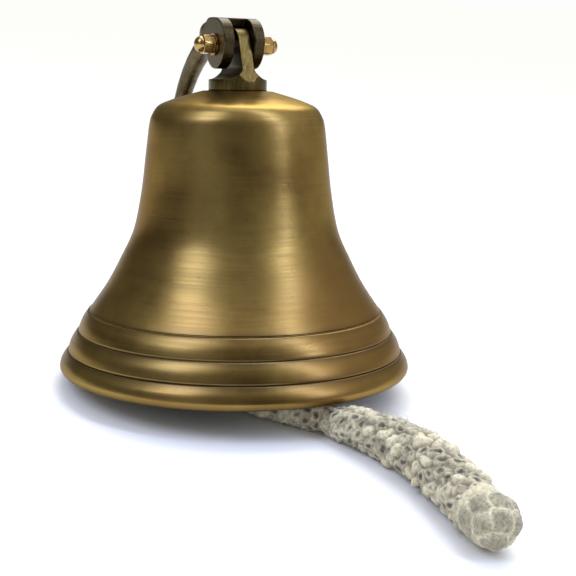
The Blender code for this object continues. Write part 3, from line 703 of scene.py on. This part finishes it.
class Route:
    """Position, direction and radius at any distance along the lanyard."""

    def __init__(self):
        points = through(LANYARD_ROUTE, 24)
        self.points = points
        self.runs = [0.0]
        for before, after in zip(points, points[1:]):
            self.runs.append(self.runs[-1] + (after - before).length)
        self.length = self.runs[-1]

    def at(self, run):
        """Point, way, side, up and radius; past the end it runs straight on."""
        inside = min(max(run, 0.0), self.length)
        k = min(bisect.bisect_right(self.runs, inside) - 1, len(self.points) - 2)
        t = (inside - self.runs[k]) / (self.runs[k + 1] - self.runs[k])
        point = self.points[k].lerp(self.points[k + 1], t)
        before, after = self.points[max(k - 4, 0)], self.points[min(k + 5, len(self.points) - 1)]
        way = (after - before).normalized()
        side = way.cross(Vector((0, 0, 1))).normalized()
        return point + way * (run - inside), way, side, side.cross(way), point.z


class Lumps:
    """Strand ends of the plait: rounded lumps in spiral rows, many with a hollow in the middle."""

    def __init__(self, length, seed):
        rng = random.Random(seed)
        self.rows = []
        for row in range(-1, int(length / LUMP_PITCH) + 3):
            lumps = []
            for k in range(LUMPS_ROUND):
                lumps.append((row * LUMP_PITCH + rng.uniform(-0.0010, 0.0010),
                              (k + 0.5 * (row % 2) + 0.16 * row + rng.uniform(-0.13, 0.13)) / LUMPS_ROUND,
                              rng.uniform(0.80, 1.22), rng.uniform(0.0, 1.0), rng.uniform(-0.3, 0.5),
                              rng.uniform(0.88, 1.14)))
            self.rows.append(np.array(lumps))

    def relief(self, run, turn, girth):
        """Height, hollow and tint at one distance along, for an array of turns (0 to 1)."""
        row = float(np.mean(run)) / LUMP_PITCH + 1
        last = len(self.rows) - 1
        near = np.concatenate([self.rows[min(max(int(row) + i, 0), last)] for i in (-1, 0, 1, 2)])
        ahead = run[:, None] - near[None, :, 0]
        round_by = (turn[:, None] - near[None, :, 1] + 0.5) % 1.0 - 0.5
        round_by = round_by * girth
        slant = 0.55 + near[None, :, 4]
        long_way = ahead * np.cos(slant) + round_by * np.sin(slant)
        across = -ahead * np.sin(slant) + round_by * np.cos(slant)
        size = near[None, :, 5]
        apart = np.sqrt((long_way / (0.0050 * size)) ** 2 + (across / (0.0040 * size)) ** 2)
        order = np.argsort(apart, axis=1)
        rows = np.arange(len(turn))
        first, second = order[:, 0], order[:, 1]
        d1, d2 = apart[rows, first], apart[rows, second]
        caps = np.sqrt(np.clip(1 - (0.90 * apart) ** 2, 0.0, 1)) * near[None, :, 2]
        blend = np.log(np.exp(caps * 8.0).sum(axis=1)) / 8.0
        crease = np.clip((d2 - d1) / 0.55, 0, 1)
        hollow = near[first, 3]
        a, b = long_way[rows, first], across[rows, first]
        hollow_here = np.clip((hollow - 0.22) * 2.2, 0, 1)
        pit = np.exp(-((a - 0.0005) / 0.0022) ** 2 - (b / 0.0017) ** 2) * hollow_here
        height = (blend - 0.86) * 0.0052 - pit * 0.00200
        return height, pit, crease, hollow


def grid_mesh(name, rows, attributes):
    """Closed tube mesh from an array of rings, with point attributes."""
    count, sides, _ = rows.shape
    index = np.arange(count * sides).reshape(count, sides)
    after = np.roll(index, -1, axis=1)
    quads = np.stack([index[:-1], after[:-1], after[1:], index[1:]], axis=2).reshape(-1, 4)
    faces = [*quads.tolist(), index[0][::-1].tolist(), index[-1].tolist()]
    mesh = bpy.data.meshes.new(name)
    mesh.from_pydata(rows.reshape(-1, 3).tolist(), [], faces)
    for key, values in attributes.items():
        layer = mesh.attributes.new(key, "FLOAT", "POINT")
        layer.data.foreach_set("value", np.asarray(values, dtype=np.float32).reshape(-1))
    mesh.shade_smooth()
    return mesh


def wrinkle(co, seed):
    """Folds and fibre roughness of the cotton, in metres."""
    here = Vector(co) + Vector((seed, 0, 0))
    folds = noise.noise(here * 300) * 0.00060 + noise.noise(here * 700) * 0.00050
    return folds + noise.noise(here * 1500) * 0.00022


def sway(place):
    """Three separate noise values as a vector, the same in every run."""
    return Vector([noise.noise(place + Vector((shift, 2 * shift, -shift)))
                   for shift in (9.3, 31.7, 57.1)])


def make_plait(route):
    """Mesh of the lanyard's body, with the lumps of its plait."""
    lumps = Lumps(route.length, 11)
    count, sides = 560, 176
    turn = np.arange(sides) / sides
    cosine, sine = np.cos(math.tau * turn), np.sin(math.tau * turn)
    rings = np.zeros((count, sides, 3))
    depth, pits, tint = (np.zeros((count, sides)) for _ in range(3))
    for i in range(count):
        run = route.length * i / (count - 1)
        point, _, side, up, radius = route.at(run)
        stray = np.array([(noise.noise(Vector((c * 2.2, n * 2.2, run * 170))),
                           noise.noise(Vector((c * 2.2, n * 2.2, run * 170 + 40))))
                          for c, n in zip(cosine, sine)])
        height, pit, crease, hollow = lumps.relief(run + stray[:, 0] * 0.0022,
                                                   turn + stray[:, 1] * 0.030, math.tau * radius)
        reach = radius * 0.985 + height * (radius / 0.0125)
        ring = (np.array(point)[None, :] + np.outer(cosine * reach, np.array(side))
                + np.outer(sine * reach, np.array(up)))
        outward = np.outer(cosine, np.array(side)) + np.outer(sine, np.array(up))
        push = np.array([wrinkle(co, 0.0) for co in ring.tolist()])
        rings[i] = ring + outward * push[:, None]
        depth[i] = (height + push * 1.5) / 0.0012
        # Pits and the creases between lumps are marked for painted shade.
        pits[i] = np.clip(pit * 1.15 + (1 - crease) * 0.25, 0, 1)
        tint[i] = hollow
    under_lip = (rings[:, :, 1] > -0.1150) & (rings[:, :, 1] < -0.1040)
    rings[:, :, 2] = np.where(under_lip, np.minimum(rings[:, :, 2], 0.0169), rings[:, :, 2])
    rings[:, :, 2] = np.maximum(rings[:, :, 2], FLOOR_GAP)
    return grid_mesh("lanyard_plait", rings, {"depth": depth, "pit": pits, "tint": tint})


def make_fibres(route, count, seed, low, high):
    """Stray cotton fibres that stand off the surface."""
    rng = random.Random(seed)
    verts, faces = [], []
    for _ in range(count):
        run = rng.uniform(low, high)
        angle = rng.uniform(-0.6, math.pi + 0.6)
        point, way, side, up, radius = route.at(run)
        out = side * math.cos(angle) + up * math.sin(angle)
        round_way = up * math.cos(angle) - side * math.sin(angle)
        start = point + out * radius * rng.uniform(0.94, 1.03)
        drift = way * rng.uniform(-1, 1) + round_way * rng.uniform(-1, 1)
        drift.normalize()
        length, lift = rng.uniform(0.0020, 0.0048), rng.uniform(0.0004, 0.0019)
        bend = (way * rng.uniform(-1, 1) + round_way * rng.uniform(-1, 1)) * 0.0010
        base = len(verts)
        for i in range(6):
            t = i / 5
            centre = start + drift * length * t + out * lift * math.sin(math.pi * 0.7 * t) + bend * t * t
            if centre.z < 0.0004:
                centre.z = 0.0004
            thick = 0.000085 * (1 - 0.6 * t)
            for k in range(3):
                a = math.tau * k / 3
                verts.append(tuple(centre + (out * math.cos(a) + round_way * math.sin(a)) * thick))
        for i in range(5):
            for k in range(3):
                a, b = base + 3 * i + k, base + 3 * i + (k + 1) % 3
                faces.append((a, b, b + 3, a + 3))
    mesh = bpy.data.meshes.new("fibres")
    mesh.from_pydata(verts, [], faces)
    for key, value in (("depth", 0.6), ("pit", 0.28), ("tint", 0.5)):
        layer = mesh.attributes.new(key, "FLOAT", "POINT")
        layer.data.foreach_set("value", [value] * len(verts))
    return mesh


def joined(name, meshes, material):
    """One object from some meshes."""
    shape = bmesh.new()
    for mesh in meshes:
        shape.from_mesh(mesh)
        bpy.data.meshes.remove(mesh)
    thing = place_mesh(name, shape)
    thing.data.materials.append(material)
    return thing


def make_lanyard(route, material):
    """Plait with its stray fibres."""
    plait = make_plait(route)
    fibres = make_fibres(route, 520, 5, 0.09, route.length)
    lanyard = joined("lanyard_plait", [plait, fibres], material)
    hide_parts("lanyard_body")
    return lanyard


def make_knot(route, material):
    """End knot: big smooth bights that are greyer, with paler ridges between them, and painted shade in
    the creases round each bight.
    """
    count, sides = 130, 160
    rings = np.zeros((count, sides, 3))
    depth, pits, tint = (np.zeros((count, sides)) for _ in range(3))
    end, way, side, up, radius = route.at(route.length)
    start = end - way * 0.0015
    length, wide = KNOT_LENGTH + 0.0010, KNOT_RADIUS
    middle = Vector((start.x, start.y, wide)) + way * (length - 0.0122)
    lobes = [Vector(lobe).normalized() for lobe in KNOT_LOBES]
    for i in range(count):
        t = i / (count - 1)
        reach = radius * 0.92 + (wide - radius * 0.92) * math.sin(math.pi * min(t * 1.2, 1))
        reach *= math.sqrt(max(1 - max(t * 1.35 - 0.35, 0) ** 2.2, 0.0004))
        ahead = way * length * (0.5 - 0.5 * math.cos(math.pi * t ** 0.9))
        centre = Vector((start.x, start.y, wide)) + ahead
        for k in range(sides):
            angle = math.tau * k / sides
            out = side * math.cos(angle) + up * math.sin(angle)
            co = centre + out * reach
            bent = sway(co * 190) * 0.0016
            toward = (co - middle).normalized()
            bearing = (co + bent - middle).normalized()
            apart = sorted(bearing.angle(lobe) for lobe in lobes)
            on_lobe = math.exp(-(apart[0] / 0.40) ** 4)
            seam = math.exp(-((apart[1] - apart[0]) / 0.13) ** 2) * math.exp(-(apart[0] / 0.75) ** 6)
            fade = min(max((t - 0.06) / 0.2, 0), 1)
            rough = wrinkle(co, 3.0) * (1.15 - 0.55 * on_lobe * fade)
            swell = (on_lobe * 0.0020 + seam * 0.0004 - 0.0012) * fade
            rings[i, k] = co + toward * (swell + rough)
            depth[i, k] = 0.35 + (swell * 0.35 + rough * 1.2) / 0.0012 + seam * 0.1
            shade = on_lobe * (0.55 + 0.10 * noise.noise(co * 260))
            # Painted shade in the crease round each bight.
            crease = math.exp(-((apart[0] - 0.44) / 0.09) ** 2) * (1 - seam) * 0.34
            pits[i, k] = min(max((shade + crease) * fade, 0), 1)
            tint[i, k] = 0.85 - 0.5 * seam
    rings[:, :, 2] = np.maximum(rings[:, :, 2], FLOOR_GAP)
    body = grid_mesh("knot_body", rings, {"depth": depth, "pit": pits, "tint": tint})
    fibres = make_fibres(route, 110, 9, route.length, route.length + 0.016)
    knot = joined("lanyard_end_knot", [body, fibres], material)
    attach(knot, "bell")
    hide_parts("lanyard_knot")
    return knot


def make_becket(route, material):
    """Thin loop that ties the lanyard to the eye under the clapper."""
    start, way, side, _, _ = route.at(0.0)
    back = -way
    leg = Vector((0.0088, 0, 0))
    mouth = start - back * 0.004
    left, right = mouth + side * 0.0048, mouth - side * 0.0048
    if left.x > right.x:
        left, right = right, left
    points = [left, left + back * 0.010, TAIL_EYE - leg + Vector((0, -0.0080, -0.0020)),
              TAIL_EYE - leg * 0.80 + Vector((0, -0.0020, 0)), TAIL_EYE,
              TAIL_EYE + leg * 0.80 + Vector((0, -0.0020, 0)),
              TAIL_EYE + leg + Vector((0, -0.0080, -0.0020)), right + back * 0.010, right]
    centres = through(points, 14)
    sides = 30
    rings = np.zeros((len(centres), sides, 3))
    depth = np.zeros((len(centres), sides))
    run = 0.0
    for i, centre in enumerate(centres):
        if i:
            run += (centre - centres[i - 1]).length
        ahead = (centres[min(i + 1, len(centres) - 1)] - centres[max(i - 1, 0)]).normalized()
        across = ahead.cross(Vector((0.31, 0.17, 0.93))).normalized()
        over = across.cross(ahead)
        for k in range(sides):
            angle = math.tau * k / sides
            ply = abs(math.sin(1.5 * angle + run * 700))
            reach = 0.0022 + 0.0004 * ply
            rings[i, k] = centre + (across * math.cos(angle) + over * math.sin(angle)) * reach
            depth[i, k] = ply * 1.2 - 0.2
    # The hollows between the plies get painted shade through depth and pit.
    mesh = grid_mesh("loop_body", rings, {"depth": depth, "pit": np.clip(0.4 - depth, 0, 1),
                                          "tint": depth * 0 + 0.4})
    becket = joined("lanyard_loop", [mesh], material)
    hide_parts("lanyard_becket")
    return becket


def make_cord():
    """The whole lanyard: loop, plait and knot."""
    fibre = cotton("plaited_cotton")
    route = Route()
    plait = make_lanyard(route, fibre)
    knot = make_knot(route, fibre)
    becket = make_becket(route, fibre)
    for piece in (plait, becket):
        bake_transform(piece)
    path = [tuple(route.at(route.length * i / 60)[0]) for i in range(61)]


# ---------------------------------------------------------------- small hardware

def finish_hardware(bronze):
    """Materials for the frame's own small pieces, and the bright nuts."""
    bright = polished_metal("polished_brass", (0.42, 0.275, 0.095), (0.21, 0.115, 0.034), 0.22)
    acorn_nut("left_acorn_nut", "acorn_nut_left", -1, bright)
    acorn_nut("right_acorn_nut", "acorn_nut_right", 1, bright)
    steel = polished_metal("zinc_steel", (0.50, 0.50, 0.48), (0.30, 0.29, 0.27), 0.34)
    # Its third colour serves scratches and the painted highlight along sharp edges.
    dull = cast_metal("clapper_brass", (0.20, 0.15, 0.07), (0.33, 0.25, 0.12), (0.5, 0.4, 0.22), 0.42)
    finishes = {
        "crown_stud": steel, "crown_washer": steel, "crown_nut": steel, "clapper_pin": steel,
        "clapper_pin_nut": steel, "clapper_rod": steel, "clapper_tail_eye": steel, "hinge_pin": steel,
        "plate_screw": steel, "clapper_staple": dull, "clapper_ball": dull, "wall_plate": bronze,
        "hinge_washer_left": bright, "hinge_washer_right": bright,
    }
    for node, material in finishes.items():
        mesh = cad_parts[node].data
        mesh.materials.clear()
        mesh.materials.append(material)


def light_scene():
    """Soft high-key studio light."""
    make_world()
    make_sun()
    for light in LIGHTS:
        make_light(*light)
    bpy.context.scene.view_settings.view_transform = "Standard"


make_camera()
make_cord()
make_bell()
bronze_material = make_castings()
finish_hardware(bronze_material)
make_floor()
light_scene()
